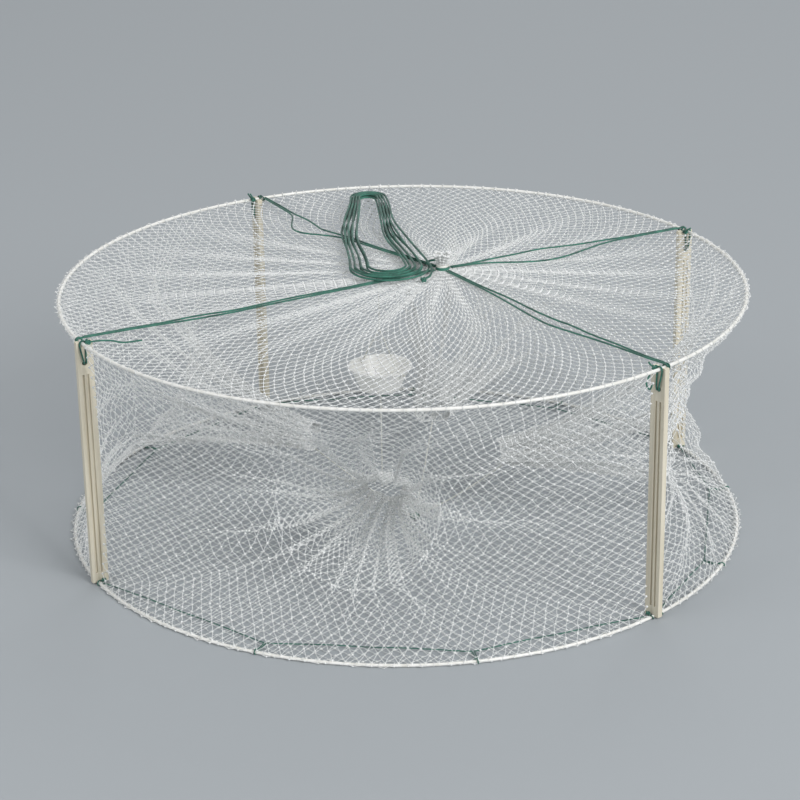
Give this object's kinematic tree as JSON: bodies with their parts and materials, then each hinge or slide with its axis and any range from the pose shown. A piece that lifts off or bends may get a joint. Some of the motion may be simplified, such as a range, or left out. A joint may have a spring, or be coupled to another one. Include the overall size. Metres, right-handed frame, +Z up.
{
  "type": "folding fish trap",
  "caption": "Round folding fish and crayfish trap with hoops, moulded uprights, knotted netting, entrance funnels, a bait cup and a haul cord.",
  "frame": {"origin": "on the floor, under the middle of the bottom hoop", "axes": "+Z up, -Y towards the front funnel, +X to its right"},
  "size_m": [0.6024, 0.6024, 0.2344],
  "materials": {
    "coated_wire": "smooth white plastic coating, satin",
    "moulded_strip": "ivory moulded plastic, satin",
    "netting": "white knotted nylon twine",
    "green_cord": "dark green braided cord",
    "white_cord": "white cord",
    "cup_plastic": "white moulded plastic, satin"
  },
  "bodies": {
    "base": {"bottom_hoop": "coated_wire", "bottom_net": "netting", "side_net_front": "netting", "funnel_front": "netting", "funnel_tie_front": "white_cord", "bottom_lacing_front": "green_cord", "side_net_right": "netting", "funnel_right": "netting", "funnel_tie_right": "white_cord", "bottom_lacing_right": "green_cord", "side_net_back": "netting", "funnel_back": "netting", "funnel_tie_back": "white_cord", "bottom_lacing_back": "green_cord", "side_net_left": "netting", "funnel_left": "netting", "funnel_tie_left": "white_cord", "bottom_lacing_left": "green_cord", "funnel_tie_knot": "green_cord"},
    "bait_line_lower": {"bait_line_lower": "white_cord"},
    "bait_cup": {"bait_cup": "cup_plastic", "bait_line_stopper": "white_cord"},
    "bait_line_upper": {"bait_bail": "white_cord", "bait_line_upper": "white_cord"},
    "top": {"top_hoop": "coated_wire", "top_net": "netting", "gathered_tuft": "netting", "draw_cord": "white_cord", "bridle_ring": "green_cord", "bridle_front_left": "green_cord", "bridle_front_right": "green_cord", "bridle_back_right": "green_cord", "bridle_back_left": "green_cord", "haul_cord_lead": "green_cord", "haul_cord_hank": "green_cord", "haul_cord_end_knot": "green_cord"},
    "upright_front_left": {"upright_front_left": "moulded_strip", "lashing_front_left": "green_cord"},
    "upright_front_right": {"upright_front_right": "moulded_strip", "lashing_front_right": "green_cord"},
    "upright_back_right": {"upright_back_right": "moulded_strip", "lashing_back_right": "green_cord"},
    "upright_back_left": {"upright_back_left": "moulded_strip", "lashing_back_left": "green_cord"}
  },
  "joints": [
    {"name": "trap_fold", "type": "hinge", "parent": "base", "child": "bait_line_lower", "pos_m": [-0.0215, 0.052, 0.0018], "axis": [-0.6947, 0.7193, 0], "range_deg": [0, 80], "deforming": ["side_net_front", "funnel_front", "funnel_tie_front", "side_net_right", "funnel_right", "funnel_tie_right", "side_net_back", "funnel_back", "funnel_tie_back", "side_net_left", "funnel_left", "funnel_tie_left"]},
    {"name": "bait_cup_level", "type": "hinge", "parent": "bait_line_lower", "child": "bait_cup", "pos_m": [-0.0215, 0.052, 0.09991], "axis": [0.6947, -0.7193, 0], "range_deg": [0, 80]},
    {"name": "bait_line_upper_lean", "type": "hinge", "parent": "bait_cup", "child": "bait_line_upper", "pos_m": [-0.0215, 0.052, 0.11981], "axis": [0.6947, -0.7193, 0], "range_deg": [0, 80]},
    {"name": "top_level", "type": "hinge", "parent": "bait_line_upper", "child": "top", "pos_m": [-0.0215, 0.052, 0.21791], "axis": [-0.6947, 0.7193, 0], "range_deg": [0, 80]},
    {"name": "upright_front_left_fold", "type": "hinge", "parent": "top", "child": "upright_front_left", "pos_m": [-0.26586, -0.13899, 0.21941], "axis": [0.4633, -0.8862, 0], "range_deg": [0, 80]},
    {"name": "upright_front_right_fold", "type": "hinge", "parent": "top", "child": "upright_front_right", "pos_m": [0.20422, -0.21976, 0.21941], "axis": [0.7325, 0.6807, 0], "range_deg": [0, 80]},
    {"name": "upright_back_right_fold", "type": "hinge", "parent": "top", "child": "upright_back_right", "pos_m": [0.26634, 0.13806, 0.21941], "axis": [-0.4602, 0.8878, 0], "range_deg": [0, 80]},
    {"name": "upright_back_left_fold", "type": "hinge", "parent": "top", "child": "upright_back_left", "pos_m": [-0.14269, 0.26389, 0.21941], "axis": [-0.8796, -0.4756, 0], "range_deg": [0, 80]}
  ],
  "couplings": [
    {"joint": "bait_cup_level", "follows": "trap_fold", "ratio": 1},
    {"joint": "bait_line_upper_lean", "follows": "trap_fold", "ratio": 1},
    {"joint": "top_level", "follows": "trap_fold", "ratio": 1},
    {"joint": "upright_front_left_fold", "follows": "trap_fold", "ratio": 1},
    {"joint": "upright_front_right_fold", "follows": "trap_fold", "ratio": 1},
    {"joint": "upright_back_right_fold", "follows": "trap_fold", "ratio": 1},
    {"joint": "upright_back_left_fold", "follows": "trap_fold", "ratio": 1}
  ]
}
